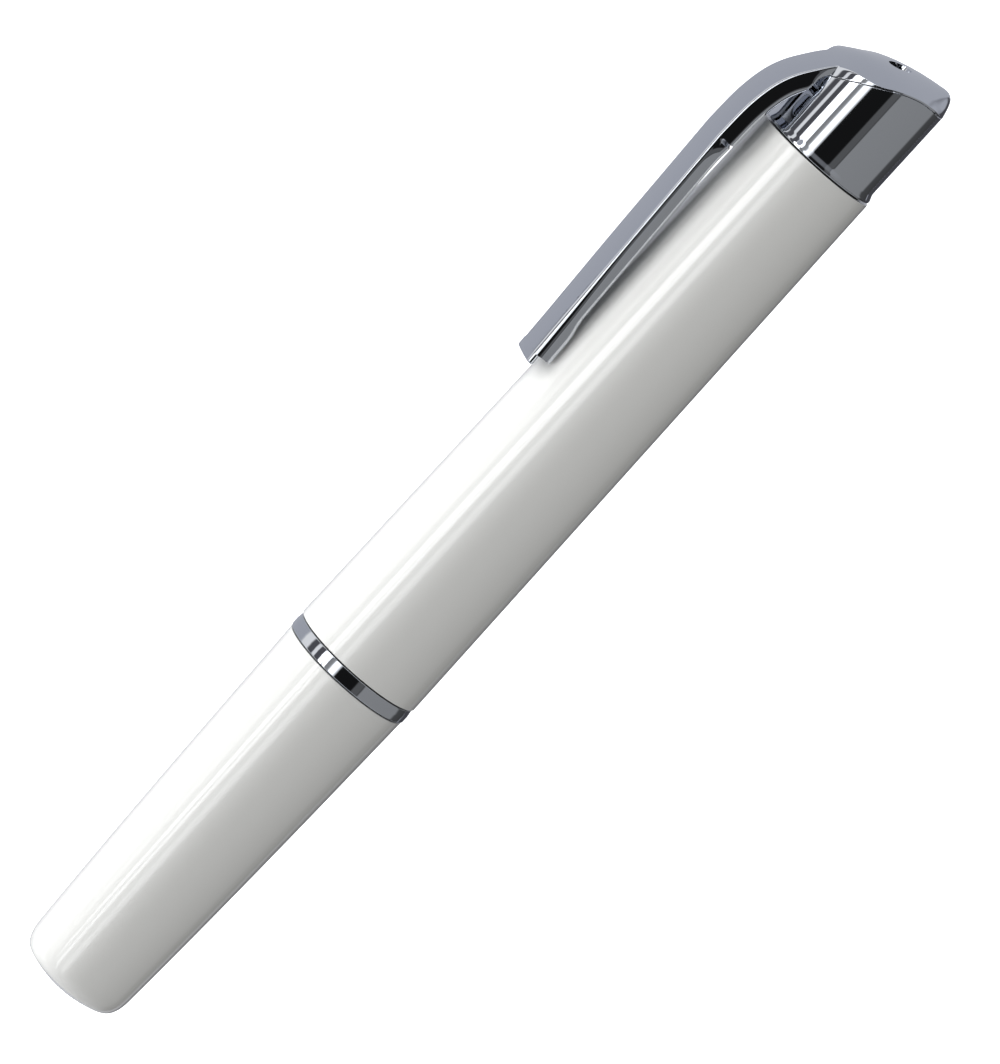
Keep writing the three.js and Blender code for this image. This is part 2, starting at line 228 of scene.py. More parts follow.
def make_turning():
    group, given, out = new_group(
        "turning", {"Vector": None, "Pitch": 9000.0, "Roughness": 0.25, "Spread": 0.2},
        ["Roughness", "Height"])
    along = add_node(group, "ShaderNodeMapping", {"Vector": given["Vector"], "Scale": (1, 0.01, 0.01)})
    rings = add_node(group, "ShaderNodeTexNoise",
                     {"Vector": along.outputs[0], "Scale": given["Pitch"], "Detail": 2.0})
    change = add_node(group, "ShaderNodeMath",
                      {0: rings.outputs[0], 1: given["Spread"], 2: given["Roughness"]},
                      operation="MULTIPLY_ADD")
    group.links.new(change.outputs[0], out["Roughness"])
    group.links.new(rings.outputs[0], out["Height"])
    return group


GRAIN = make_grain()
TURNING = make_turning()
print("shared effects:", HANDLING.name, GRAIN.name, TURNING.name)


# %% Put an effect on a material
def apply_effect(material, group, bump, **values):
    tree = material.node_tree
    shader = tree.nodes["Principled BSDF"]
    place = add_node(tree, "ShaderNodeTexCoord")
    effect = add_node(tree, "ShaderNodeGroup", node_tree=group)
    tree.links.new(place.outputs["Object"], effect.inputs["Vector"])
    for key, value in values.items():
        effect.inputs[key].default_value = value
    tree.links.new(effect.outputs["Roughness"], shader.inputs["Roughness"])
    relief = add_node(tree, "ShaderNodeBump",
                      {"Height": effect.outputs["Height"], "Strength": bump, "Distance": 0.0001})
    tree.links.new(relief.outputs["Normal"], shader.inputs["Normal"])
    return material


# %% [markdown]
# ## The two finishes that are seen first
# The barrel has a thick white lacquer: a bright base under a clear coat, which
# keeps reflections sharp while the base stays soft. The chrome is a plain metal
# with a slightly blue tint and hardly any roughness.

# %% Lacquer and chrome
lacquer = new_material("white_lacquer", (0.83, 0.835, 0.82), 0.22, Coat_Weight=1.0, Coat_Roughness=0.03)
apply_effect(lacquer, HANDLING, 0.05, Scale=45.0, Roughness=0.22, Spread=0.12, Wave=0.06)
chrome = new_material("chrome", (0.63, 0.65, 0.69), 0.045, 1.0)
apply_effect(chrome, HANDLING, 0.06, Scale=70.0, Roughness=0.045, Spread=0.05, Wave=0.05)

# %% [markdown]
# ## The finishes inside
# These show when the cover or the cap is pulled off. Plastics get the mould
# grain, metals the turned rings, and the boards and films a light smear.

# %% Plastics, rubber and foam
black_plastic = new_material("black_plastic", (0.022, 0.022, 0.025), 0.4)
apply_effect(black_plastic, GRAIN, 0.35, Scale=3200.0, Roughness=0.34, Spread=0.25)
grey_plastic = new_material("grey_plastic", (0.22, 0.235, 0.25), 0.45)
apply_effect(grey_plastic, GRAIN, 0.3, Scale=2600.0, Roughness=0.4, Spread=0.2)
speculum_plastic = new_material("speculum_plastic", (0.03, 0.031, 0.034), 0.2, Coat_Weight=0.4)
apply_effect(speculum_plastic, HANDLING, 0.08, Scale=90.0, Roughness=0.2, Spread=0.12, Wave=0.08)
rubber = new_material("seal_rubber", (0.015, 0.015, 0.016), 0.6)
apply_effect(rubber, GRAIN, 0.2, Scale=5200.0, Roughness=0.52, Spread=0.2)
foam = new_material("cushion_foam", (0.07, 0.075, 0.085), 0.9)
apply_effect(foam, GRAIN, 0.9, Scale=1900.0, Roughness=0.8, Spread=0.2)

# %% Metals, glass, boards and films
steel = new_material("steel", (0.56, 0.57, 0.58), 0.28, 1.0)
apply_effect(steel, TURNING, 0.25, Pitch=9000.0, Roughness=0.16, Spread=0.22)
gold = new_material("gold_contact", (0.72, 0.52, 0.22), 0.25, 1.0)
apply_effect(gold, TURNING, 0.15, Pitch=5000.0, Roughness=0.16, Spread=0.2)
lens_glass = new_material("lens_glass", (0.86, 0.92, 0.94), 0.02, Transmission_Weight=1.0, IOR=1.5)
apply_effect(lens_glass, HANDLING, 0.02, Scale=120.0, Roughness=0.02, Spread=0.02, Wave=0.02)
board_green = new_material("board", (0.02, 0.1, 0.045), 0.35, Coat_Weight=0.5)
apply_effect(board_green, HANDLING, 0.1, Scale=160.0, Roughness=0.35, Spread=0.2, Wave=0.2)
amber_film = new_material("amber_film", (0.42, 0.17, 0.03), 0.3)
apply_effect(amber_film, HANDLING, 0.1, Scale=140.0, Roughness=0.3, Spread=0.15, Wave=0.2)
cell_wrap = new_material("cell_wrap", (0.03, 0.13, 0.3), 0.3, Coat_Weight=0.6)
apply_effect(cell_wrap, HANDLING, 0.1, Scale=80.0, Roughness=0.28, Spread=0.15, Wave=0.3)
print(len(bpy.data.materials), "materials")

# %% [markdown]
# ## Dress the parts that stay as they are
# The sealed pieces inside keep their CAD shapes, which are plain blocks and
# discs in real life too. They only change their finish.

# %% Finishes of the CAD parts
KEPT = {
    foam: ["tip_cushion"],
    steel: ["speculum_seat", "probe_seat", "ring_magnet", "wifi_module", "hood_screw"],
    lens_glass: ["light_guide"],
    black_plastic: ["camera_module", "hall_sensor", "image_processor", "cap_insert"],
    amber_film: ["camera_flex", "flex_strip"],
    board_green: ["main_board", "socket_board"],
    grey_plastic: ["camera_socket", "cell_holder"],
    gold: ["front_contact", "rear_contact"],
    cell_wrap: ["battery_cell"],
}
for material, nodes in KEPT.items():
    for node in nodes:
        slots = frame["nodes"][node].data.materials
        slots.clear()
        slots.append(material)
print(sum(len(nodes) for nodes in KEPT.values()), "CAD parts keep their shape")

# %% [markdown]
# ## Turning a piece on a lathe
# Almost every piece of a pen is turned: one outline, spun round the axis. The
# outline is a short list of corners, each with its own rounding, because a real
# edge is never knife sharp and a rounded edge is what catches the light.


# %% Rounded outlines
def arc_round(before, corner, after, rounding, steps):
    before, corner, after = Vector(before), Vector(corner), Vector(after)
    to_before = (before - corner).normalized()
    to_after = (after - corner).normalized()
    half = to_before.angle(to_after) / 2
    if rounding <= 0 or half > math.radians(88):
        return [corner]
    reach = rounding / math.tan(half)
    centre = corner + (to_before + to_after).normalized() * rounding / math.sin(half)
    start = (corner + to_before * reach - centre).normalized()
    end = (corner + to_after * reach - centre).normalized()
    arc = [centre + start.slerp(end, i / steps) * rounding for i in range(steps + 1)]
    support = min(rounding * 0.7, 0.12)
    return [arc[0] + to_before * support, *arc, arc[-1] + to_after * support]


def rounded(outline, steps=5, loop=True):
    corners = [Vector((radius, station)) for station, radius, _ in outline]
    path = []
    for i, (_, _, rounding) in enumerate(outline):
        before, after = corners[i - 1], corners[(i + 1) % len(corners)]
        if not loop and i in (0, len(corners) - 1):
            path.append(corners[i])
        else:
            path += arc_round(before, corners[i], after, rounding, steps)
    return path + path[:1] if loop else path


# %% [markdown]
# The spin itself is a Geometry Nodes tree. It reads the outline's points, makes
# a grid with one column for each step round the axis, and moves every point of
# the grid to its radius and angle. The number of sides is an input.


# %% Geometry Nodes helpers
def new_tree(name, inputs):
    tree = bpy.data.node_groups.new(name, "GeometryNodeTree")
    tree.interface.new_socket("Geometry", in_out="INPUT", socket_type="NodeSocketGeometry")
    for label, kind in inputs.items():
        tree.interface.new_socket(label, in_out="INPUT", socket_type="NodeSocket" + kind)
    tree.interface.new_socket("Geometry", in_out="OUTPUT", socket_type="NodeSocketGeometry")
    return tree, tree.nodes.new("NodeGroupInput").outputs, tree.nodes.new("NodeGroupOutput").inputs


def math_node(tree, operation, first, second):
    return add_node(tree, "ShaderNodeMath", {0: first, 1: second}, operation=operation).outputs[0]


def finish_tree(tree, geometry, material, out):
    real = add_node(tree, "GeometryNodeRealizeInstances", {0: geometry})
    dressed = add_node(tree, "GeometryNodeSetMaterial", {"Geometry": real.outputs[0], "Material": material})
    tree.links.new(dressed.outputs[0], out["Geometry"])
    return tree


# %% The lathe tree
def make_lathe():
    tree, given, out = new_tree("lathe", {"Sides": "Int", "Material": "Material"})
    size = add_node(tree, "GeometryNodeAttributeDomainSize", {0: given["Geometry"]})
    rows = size.outputs["Point Count"]
    columns = math_node(tree, "ADD", given["Sides"], 1.0)
    grid = add_node(tree, "GeometryNodeMeshGrid", {"Vertices X": columns, "Vertices Y": rows})
    index = add_node(tree, "GeometryNodeInputIndex").outputs[0]
    row = math_node(tree, "MODULO", index, rows)
    column = math_node(tree, "FLOOR", math_node(tree, "DIVIDE", index, rows), 0.0)
    angle = math_node(tree, "MULTIPLY", column, math_node(tree, "DIVIDE", 2 * math.pi, given["Sides"]))
    place = add_node(tree, "GeometryNodeInputPosition").outputs[0]
    sample = add_node(tree, "GeometryNodeSampleIndex",
                      {0: given["Geometry"], "Index": row}, data_type="FLOAT_VECTOR", domain="POINT")
    tree.links.new(place, sample.inputs["Value"])
    outline = add_node(tree, "ShaderNodeSeparateXYZ", {0: sample.outputs[0]}).outputs
    x = math_node(tree, "MULTIPLY", outline["X"], math_node(tree, "COSINE", angle, 0.0))
    y = math_node(tree, "MULTIPLY", outline["X"], math_node(tree, "SINE", angle, 0.0))
    moved = add_node(tree, "ShaderNodeCombineXYZ", {"X": x, "Y": y, "Z": outline["Y"]})
    spun = add_node(tree, "GeometryNodeSetPosition",
                    {"Geometry": grid.outputs["Mesh"], "Position": moved.outputs[0]})
    joined = add_node(tree, "GeometryNodeMergeByDistance", {0: spun.outputs[0], "Distance": 0.0008})
    return finish_tree(tree, joined.outputs[0], given["Material"], out)


LATHE = make_lathe()


# %% Run a tree and keep its mesh
def run_tree(name, mesh, tree, **values):
    source = bpy.data.objects.new(name + "_source", mesh)
    bpy.context.scene.collection.objects.link(source)
    modifier = source.modifiers.new("tree", "NODES")
    modifier.node_group = tree
    for item in tree.interface.items_tree:
        if item.in_out == "INPUT" and item.name in values:
            modifier[item.identifier] = values[item.name]
    depsgraph = bpy.context.evaluated_depsgraph_get()
    made = bpy.data.meshes.new_from_object(source.evaluated_get(depsgraph))
    bpy.data.objects.remove(source)
    return made


def outward(mesh):
    shape = bmesh.new()
    shape.from_mesh(mesh)
    bmesh.ops.remove_doubles(shape, verts=shape.verts, dist=1e-5)
    bmesh.ops.dissolve_degenerate(shape, edges=shape.edges, dist=1e-6)
    bmesh.ops.recalc_face_normals(shape, faces=shape.faces)
    shape.to_mesh(mesh)
    shape.free()
    return mesh


def settle(name, mesh, sharp=40):
    mesh = outward(mesh)
    mesh.transform(PEN)
    mesh.shade_smooth()
    mesh.set_sharp_from_angle(angle=math.radians(sharp))
    piece = bpy.data.objects.new(name, mesh)
    bpy.context.scene.collection.objects.link(piece)
    return piece


def outline_mesh(path):
    mesh = bpy.data.meshes.new("outline")
    edges = [(i, i + 1) for i in range(len(path) - 1)]
    mesh.from_pydata([(p.x, p.y, 0) for p in path], edges, [])
    return mesh


def turned(name, path, material, sides=160):
    made = run_tree(name, outline_mesh(path), LATHE, Sides=sides, Material=material)
    piece = settle(name, made)
    print(name, "has", len(made.polygons), "faces")
    return piece


def place_piece(piece, body, slot, *nodes):
    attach(piece, body)
    if nodes:
        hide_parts(*nodes)
    return piece


# %% [markdown]
# ## The cover
# The lower tube is a cover that pulls off towards the tail. Its radius follows a
# rule: it narrows evenly, and a little faster near the tail, where it closes in
# a low dome with a rounded edge.

# %% Cover
cover_to = span("cover_shell")[1]
COVER_RADIUS = 7.5
COVER_WALL = 0.8
COVER_TAPER = 0.0222
TAIL_NARROWING = 5.5e-6
DOME_RADIUS = 12.5


def cover_radius(station):
    inward = cover_to - station
    return COVER_RADIUS - COVER_TAPER * inward - TAIL_NARROWING * inward ** 3


def dome(radius):
    return radius ** 2 / (2 * DOME_RADIUS)


def cover_path():
    path = [Vector((radius, dome(radius))) for radius in (0, 0.8, 1.6, 2.4, 3.2, 4.0, 4.6)]
    start, pull, end = Vector((5.0, dome(5.0))), Vector((6.06, 1.35)), Vector((cover_radius(3.4), 3.4))
    for i in range(13):
        t = i / 12
        path.append(start * (1 - t) ** 2 + pull * 2 * t * (1 - t) + end * t ** 2)
    stations = [4.2 + 2.4 * i for i in range(17)]
    path += [Vector((cover_radius(s), s)) for s in stations if s < cover_to - 0.5]
    edge = [(cover_to - 0.5, cover_radius(cover_to - 0.5), 0), (cover_to, cover_radius(cover_to), 0.1),
            (cover_to, COVER_RADIUS - COVER_WALL, 0.1),
            (cover_to - 2, cover_radius(cover_to - 2) - COVER_WALL, 0)]
    path += rounded(edge, loop=False)
    path += [Vector((cover_radius(s) - COVER_WALL, s)) for s in (36, 30, 24, 18, 12, 6, 3.6)]
    return path + [Vector((4.9, 2.1)), Vector((3.6, 1.4)), Vector((0, 1.3))]


cover_body = turned("cover_body", cover_path(), lacquer, 192)
place_piece(cover_body, "cover", "white_lacquer", "cover_shell")

# %% [markdown]
# Inside its mouth sits a black sleeve, which grips the seal on the nose.

# %% Cover sleeve
NOSE_BORE = 5.9
sleeve_from, sleeve_to = span("cover_liner")
sleeve = [(sleeve_from, NOSE_BORE, 0.05), (sleeve_from, cover_radius(sleeve_from) - 1.0, 0.1),
          (sleeve_to, cover_radius(sleeve_to) - 0.9, 0.05), (sleeve_to, NOSE_BORE, 0.12)]
cover_sleeve = turned("cover_sleeve", rounded(sleeve), black_plastic, 128)
place_piece(cover_sleeve, "cover", "black_plastic", "cover_liner")

# %% [markdown]
# ## The barrel
# The upper tube is one straight taper with thin, softly rounded ends.

# %% Barrel
BARREL_FRONT = 7.6
BARREL_REAR = 7.0
BARREL_BORE = 6.15
barrel_from, barrel_to = span("barrel_shell")
barrel = [(barrel_from, BARREL_BORE, 0.1), (barrel_from, BARREL_FRONT, 0.12),
          (barrel_to, BARREL_REAR, 0.12), (barrel_to, BARREL_BORE, 0.1)]
barrel_body = turned("barrel_body", rounded(barrel, 6), lacquer, 192)
place_piece(barrel_body, "handle", "white_lacquer", "barrel_shell")

# %% [markdown]
# ## The switch ring
# The chrome ring is a plain band, a little wider at the cover than at the
# barrel, so a finger can feel which way it sits. Its edges are rounded.

# %% Switch ring
RING_COVER_SIDE = 7.62
RING_BARREL_SIDE = 7.46
RING_EDGE = 0.1
RING_OVERLAP = 0.05
ring_from, ring_to = span("switch_ring")


def ring_path():
    low, high = ring_from - RING_OVERLAP, ring_to + RING_OVERLAP
    outline = [(high, NOSE_BORE, 0.08), (low, NOSE_BORE, 0.08), (low, RING_COVER_SIDE - 0.04, RING_EDGE),
               ((low + high) / 2, (RING_COVER_SIDE + RING_BARREL_SIDE) / 2 + 0.04, 0.5),
               (high, RING_BARREL_SIDE, RING_EDGE)]
    return rounded(outline, 5)


chrome_ring = turned("chrome_ring", ring_path(), chrome, 192)
place_piece(chrome_ring, "ring", "chrome", "switch_ring")

# %% [markdown]
# ## The nose and its seal
# Under the cover is the nose, a black tube with a groove for a rubber ring. A
# rubber ring is a torus, so its outline is a small circle.


# %% Nose and seals
def circle_outline(station, radius, thickness, steps=24):
    turn = [2 * math.pi * i / steps for i in range(steps + 1)]
    return [Vector((radius + thickness * math.cos(a), station + thickness * math.sin(a))) for a in turn]


GROOVE_HALF = 0.6
GROOVE_RADIUS = 4.95
NOSE_RADIUS = 5.6
TUBE_BORE = 4.6
SHOULDER_RADIUS = 5.85
seal_station = sum(span("cover_oring")) / 2
nose_from, nose_to = span("nose_body")
NOSE_SHOULDER = 46.2
nose = [
    (nose_to, TUBE_BORE, 0.05), (nose_from, TUBE_BORE, 0.15), (nose_from, NOSE_RADIUS, 0.35),
    (seal_station - GROOVE_HALF, NOSE_RADIUS, 0.06), (seal_station - GROOVE_HALF, GROOVE_RADIUS, 0.05),
    (seal_station + GROOVE_HALF, GROOVE_RADIUS, 0.05), (seal_station + GROOVE_HALF, NOSE_RADIUS, 0.06),
    (NOSE_SHOULDER, NOSE_RADIUS, 0.05), (NOSE_SHOULDER, SHOULDER_RADIUS, 0.1),
    (nose_to, SHOULDER_RADIUS, 0.1),
]
nose_tube = turned("nose_tube", rounded(nose, 4), black_plastic, 128)
place_piece(nose_tube, "handle", "black_plastic", "nose_body")

cap_seal_station = sum(span("cap_oring")) / 2
SEAL_RADIUS, SEAL_THICKNESS = 5.47, 0.33
SEALS = [("nose_seal", "cover_oring", seal_station), ("bush_seal", "cap_oring", cap_seal_station)]
for name, node, station in SEALS:
    seal = turned(name, circle_outline(station, SEAL_RADIUS, SEAL_THICKNESS), rubber, 128)
    place_piece(seal, "handle", "seal_rubber", node)

# %% [markdown]
# ## The speculum
# The speculum is a moulded cone that goes into the ear, so its tip is blunt and
# round. Fingers twist it on by its skirt.

# %% Speculum cone
SKIRT_RADIUS, SKIRT_BORE = 4.88, 4.3
tip, skirt_end = span("speculum")
speculum_outline = [
    (tip, 2.3, 0.12), (tip, 2.66, 0.18), (20.0, 3.55, 6.0), (28.9, 4.5, 1.2),
    (30.3, SKIRT_RADIUS, 0.4), (skirt_end, SKIRT_RADIUS, 0.12), (skirt_end, SKIRT_BORE, 0.1),
    (30.2, SKIRT_BORE, 0.3), (28.5, 4.0, 0.6), (20.0, 2.95, 6.0),
]
speculum_cone = turned("speculum_cone", rounded(speculum_outline, 6), speculum_plastic, 144)
place_piece(speculum_cone, "speculum", "speculum_plastic", "speculum")

# %% [markdown]
# The skirt has fine ribs for grip. They repeat round the axis, so a Geometry
# Nodes tree copies one rib: it places points on a circle, turns each to face
# out, and puts the rib on every point. The count and the radius are inputs.


# %% The tree for copies round the axis
def make_round_copies():
    tree, given, out = new_tree(
        "round_copies", {"Count": "Int", "Radius": "Float", "Station": "Float", "Material": "Material"})
    points = add_node(tree, "GeometryNodePoints", {"Count": given["Count"]})
    index = add_node(tree, "GeometryNodeInputIndex").outputs[0]
    angle = math_node(tree, "MULTIPLY", index, math_node(tree, "DIVIDE", 2 * math.pi, given["Count"]))
    x = math_node(tree, "MULTIPLY", given["Radius"], math_node(tree, "COSINE", angle, 0.0))
    y = math_node(tree, "MULTIPLY", given["Radius"], math_node(tree, "SINE", angle, 0.0))
    place = add_node(tree, "ShaderNodeCombineXYZ", {"X": x, "Y": y, "Z": given["Station"]})
    spread = add_node(tree, "GeometryNodeSetPosition",
                      {"Geometry": points.outputs[0], "Position": place.outputs[0]})
    turn = add_node(tree, "ShaderNodeCombineXYZ", {"Z": angle})
    copies = add_node(tree, "GeometryNodeInstanceOnPoints", {
        "Points": spread.outputs[0], "Instance": given["Geometry"], "Rotation": turn.outputs[0]})
    return finish_tree(tree, copies.outputs[0], given["Material"], out)


ROUND_COPIES = make_round_copies()


def rounded_block(x, y, z, bevel, segments=2):
    shape = bmesh.new()
    bmesh.ops.create_cube(shape, size=1.0)
    bmesh.ops.scale(shape, vec=(x, y, z), verts=shape.verts)
    bmesh.ops.bevel(shape, geom=shape.edges, offset=bevel, segments=segments, profile=0.5, affect="EDGES")
    mesh = bpy.data.meshes.new("block")
    shape.to_mesh(mesh)
    shape.free()
    return mesh


# %% Speculum ribs
rib = rounded_block(0.16, 0.3, 4.2, 0.06)
ribs = run_tree("ribs", rib, ROUND_COPIES, Count=36, Radius=SKIRT_RADIUS, Station=33.1,
                Material=speculum_plastic)
speculum_ribs = settle("speculum_ribs", ribs)
place_piece(speculum_ribs, "speculum", "speculum_plastic")
print("ribs:", len(ribs.polygons), "faces")

# %% [markdown]
# ## The probe
# A thin steel tube carries the camera. Its end holds a round window, and round
# the camera sits a ring of fibre ends that bring the light.

# %% Probe tube, window and fibres
PROBE_RADIUS, PROBE_BORE = 1.95, 1.65
WINDOW_RADIUS = 1.4
probe_from, probe_to = span("probe_tube")
probe = [(probe_from, PROBE_BORE, 0.05), (probe_from, PROBE_RADIUS, 0.12),
         (probe_to, PROBE_RADIUS, 0.05), (probe_to, PROBE_BORE, 0.05)]
steel_probe = turned("steel_probe", rounded(probe), steel, 96)
place_piece(steel_probe, "handle", "steel", "probe_tube")

window_from, window_to = span("probe_window")
window = [(window_from, 0, 0), (window_from, WINDOW_RADIUS, 0.08),
          (window_to, WINDOW_RADIUS, 0.08), (window_to, 0, 0)]
front_window = turned("front_window", rounded(window, loop=False), lens_glass, 64)
place_piece(front_window, "handle", "lens_glass", "probe_window")

fibre = rounded_block(0.2, 0.2, 0.12, 0.07)
fibres = run_tree("fibres", fibre, ROUND_COPIES, Count=20, Radius=1.18, Station=9.3, Material=lens_glass)
light_fibres = settle("light_fibres", fibres)
place_piece(light_fibres, "handle", "lens_glass")

# %% [markdown]
# ## The head sleeve
# The chrome head is a tube whose far end is cut to follow the hood. The hood's
# outer line is low over the head, bends, and runs on as the clip. It is drawn
# through a few points with a smooth curve, which the hood, the sleeve and the
# clip all share. A second, lower line is the hood's underside.

# %% The head's outline
HEAD_RADIUS = 6.65
OUTER = [(-5.4, 129.4), (-3.0, 129.05), (-0.4, 128.35), (2.0, 127.5), (4.0, 126.5), (6.0, 124.75),
         (7.6, 122.95), (9.05, 120.9), (10.0, 118.6), (10.55, 115.5), (10.7, 111.5)]
UNDER = [(-6.65, 127.1), (-5.2, 127.5), (-3.5, 127.95), (-1.5, 128.05), (0.7, 127.45), (2.6, 126.35),
         (4.0, 125.35), (5.3, 124.15), (6.9, 122.39)]
FAR_ROUNDING = 1.15


def curve(points, part):
    place = part * (len(points) - 1)
    i = min(int(place), len(points) - 2)
    t = place - i
    near = [Vector(points[min(max(i + k, 0), len(points) - 1)]) for k in (-1, 0, 1, 2)]
    leave, arrive = (near[2] - near[0]) / 2, (near[3] - near[1]) / 2
    return (near[1] * (2 * t ** 3 - 3 * t ** 2 + 1) + leave * (t ** 3 - 2 * t ** 2 + t)
            + near[2] * (3 * t ** 2 - 2 * t ** 3) + arrive * (t ** 3 - t ** 2))


def sampled(points):
    return [curve(points, i / 200) for i in range(201)]


def height_on(samples, across):
    for a, b in zip(samples, samples[1:]):
        if a.x <= across <= b.x:
            return a.y + (b.y - a.y) * (across - a.x) / max(b.x - a.x, 1e-9)
    return samples[0].y if across < samples[0].x else samples[-1].y


outer_line, under_line = sampled(OUTER), sampled(UNDER)


def hood_top(across):
    centre = FAR_ROUNDING - HEAD_RADIUS
    if across < centre:
        reach = min(centre - across, FAR_ROUNDING)
        return outer_line[0].y - FAR_ROUNDING + math.sqrt(FAR_ROUNDING ** 2 - reach ** 2)
    return height_on(outer_line, across)


def hood_rim(across):
    return height_on(under_line, across)


print("the hood is highest at station", round(hood_top(-5.4), 2))

# %% [markdown]
# The sleeve is drawn as a grid: columns round the axis, rows from its foot to
# its cut end, outside and inside, so that the cut follows the hood exactly.


# %% Grid surfaces
def grid_mesh(rings, name, close_ends=False):
    verts = [point for ring in rings for point in ring]
    width = len(rings[0])
    faces = []
    for i in range(len(rings) - 1):
        for j in range(width):
            k = (j + 1) % width
            faces.append((i * width + j, i * width + k, (i + 1) * width + k, (i + 1) * width + j))
    if close_ends:
        faces.append(tuple(range(width)))
        faces.append(tuple((len(rings) - 1) * width + j for j in range(width)))
    mesh = bpy.data.meshes.new(name)
    mesh.from_pydata(verts, [], faces)
    return mesh


# %% Head sleeve
HEAD_BORE = 5.9
SEAM = 0.05
CROWN = 30.0
FOOT_RADIUS = 6.9
head_from = span("head_sleeve")[0] - 0.12


def crown_drop(side):
    return side ** 2 / (2 * CROWN)


def sleeve_column(angle):
    across, side = HEAD_RADIUS * math.cos(angle), HEAD_RADIUS * math.sin(angle)
    top = hood_rim(across) - crown_drop(side) - SEAM
    foot = rounded([(top, HEAD_RADIUS, 0.04), (head_from + 0.95, HEAD_RADIUS, 0.8),
                    (head_from + 0.3, FOOT_RADIUS, 0.3), (head_from, FOOT_RADIUS, 0.1),
                    (head_from, HEAD_BORE, 0.12), (top, HEAD_BORE, 0.04)], 4)
    return [(p.x * math.cos(angle), p.x * math.sin(angle), p.y) for p in foot[:-1]]


COLUMNS = 192
columns = [sleeve_column(2 * math.pi * i / COLUMNS) for i in range(COLUMNS)]
head_mesh = grid_mesh(columns + columns[:1], "head")
head_mesh.materials.append(chrome)
chrome_head = settle("chrome_head", head_mesh)
place_piece(chrome_head, "cap", "chrome", "head_sleeve")
print("chrome_head has", len(head_mesh.polygons), "faces")

# %% [markdown]
# ## Hood and clip
# Hood and clip are one strip of chromed metal. Over the head it is as wide as
# the head, then it narrows to the clip, bends down, and runs along the barrel
# as a shallow channel with folded sides. A list of stops along the strip gives
# each place: its point on the outer line, its half width, its depth.

# %% Stops over the head
EDGE_WALL = 0.2
CLIP_HALF = 2.75
CLIP_TIP = span("clip_arm")[0]
TIP_ACROSS = 9.57
SHEET = 0.55
blend_from = math.sqrt(HEAD_RADIUS ** 2 - CLIP_HALF ** 2)


class Stop:
    def __init__(self, point, inward, half, depth, pillow=0.0, channel=0.0, lean=0.0, pinch=0.0):
        self.point = Vector(point)
        self.inward = Vector(inward)
        self.half = half
        self.depth = depth
        self.pillow = pillow
        self.channel = channel
        self.lean = lean
        self.pinch = pinch


def smooth(t):
    t = min(max(t, 0.0), 1.0)
    return t * t * (3 - 2 * t)


def head_stops():
    stops = []
    steps = 80
    last = math.acos(-blend_from / HEAD_RADIUS)
    for i in range(steps + 1):
        across = -HEAD_RADIUS * math.cos(last * i / steps)
        half = math.sqrt(max(HEAD_RADIUS ** 2 - across ** 2, 1e-4))
        depth = hood_top(across) - hood_rim(across)
        pillow = max(depth - EDGE_WALL, 0.0) * (1 - smooth((across - 2.0) / 4.0))
        stops.append(Stop((across, hood_top(across)), (0, -1), half, depth, pillow))
    return stops


# %% [markdown]
# The clip's walls are deepest near the tip, where a foot stops just short of the
# barrel. A narrow notch crosses the wall where the arch meets the arm.
# Under the arch the walls lean outward, and further down they lean in a little.

# %% Stops along the arch and the clip
SLIT_STATION = 111.2
SLIT_HALF = 0.24
FOOT_FROM, FOOT_TO = 88.4, 82.5
ARCH_DEPTH, ARM_DEPTH, FOOT_DEPTH, TIP_DEPTH = 2.1, 1.95, 2.35, 0.8
ARCH_LEAN, ARM_LEAN = 0.34, -0.07
PINCH = 0.5


def wall_depth(station):
    if station > SLIT_STATION:
        return ARCH_DEPTH
    if station < FOOT_TO:
        return TIP_DEPTH
    return ARM_DEPTH + (FOOT_DEPTH - ARM_DEPTH) * smooth((FOOT_FROM - station) / 3.0)


def arch_stops():
    stops = []
    steps = 46
    start = next(i / 1000 for i in range(1000) if curve(OUTER, i / 1000).x > blend_from)
    first_depth = hood_top(blend_from) - hood_rim(blend_from)
    for i in range(1, steps + 1):
        part = start + (1 - start) * i / steps
        point = curve(OUTER, part)
        run = (curve(OUTER, min(part + 0.004, 1)) - curve(OUTER, part - 0.004)).normalized()
        inward = Vector((0, -1)).slerp(Vector((run.y, -run.x)), smooth(i / 18))
        depth = first_depth + (ARCH_DEPTH - first_depth) * smooth(i / 20)
        stops.append(Stop(point, inward, CLIP_HALF, depth, channel=smooth((i - 5) / 16),
                          lean=ARCH_LEAN * smooth(i / 12)))
    return stops


def arm_stops():
    top, end = Vector(OUTER[-1]), Vector((TIP_ACROSS, CLIP_TIP))
    run = (end - top).normalized()
    inward = Vector((run.y, -run.x))
    marks = [SLIT_STATION + SLIT_HALF, SLIT_STATION, SLIT_STATION - SLIT_HALF, FOOT_TO + 0.01, FOOT_TO - 0.01]
    marks += [110.5 - i for i in range(22)]
    marks += [88.5 - 0.25 * i for i in range(25)]
    marks += [82.2, 81.9, 81.6]
    stops = []
    for station in sorted(marks, reverse=True):
        point = top + (end - top) * ((top.y - station) / (top.y - end.y))
        lean = ARM_LEAN + (ARCH_LEAN - ARM_LEAN) * smooth((station - 108.5) / 3.0)
        pinch = PINCH if station == SLIT_STATION else 0.0
        stops.append(Stop(point, inward, CLIP_HALF, wall_depth(station), channel=1.0, lean=lean, pinch=pinch))
    for i in range(6):
        turn = math.pi / 2 * i / 5
        shrink = 0.25 * (1 - math.cos(turn))
        point = end + inward * shrink + run * (0.25 * math.sin(turn) - 0.25)
        stops.append(Stop(point, inward, CLIP_HALF - shrink, TIP_DEPTH - 2 * shrink, channel=1.0))
    return stops


